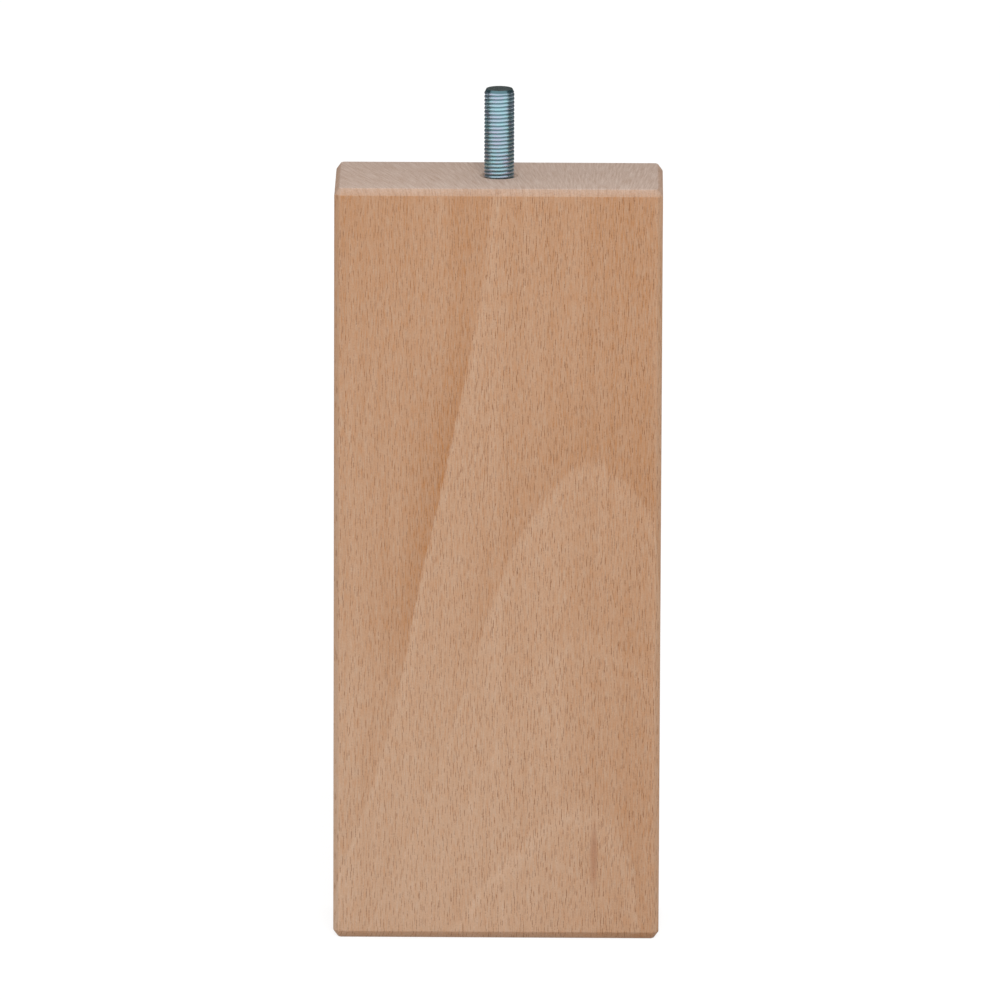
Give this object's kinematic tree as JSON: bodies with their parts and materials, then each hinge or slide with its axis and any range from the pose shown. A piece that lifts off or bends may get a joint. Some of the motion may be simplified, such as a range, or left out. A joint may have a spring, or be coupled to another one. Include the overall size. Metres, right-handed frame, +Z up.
{
  "type": "furniture leg",
  "caption": "Rectangular solid beech block leg with chamfered edges and a zinc-plated threaded stud centred in its top end.",
  "frame": {"origin": "middle of the foot, on the surface that the leg stands on", "axes": "+Z up the leg, along the grain and the bolt, out of the end that carries the stud; X across the leg's width; Y across its depth, with the face that the picture shows towards -Y"},
  "size_m": [0.085, 0.036, 0.223],
  "materials": {
    "beech": "planed and sanded steamed beech, bare and dull, flat sawn on the broad faces",
    "zinc_plated_steel": "bright bluish zinc plating on a rolled thread, with a bare sheared end"
  },
  "bodies": {
    "root": {"leg_block": "beech", "hanger_bolt": "zinc_plated_steel"}
  },
  "joints": []
}
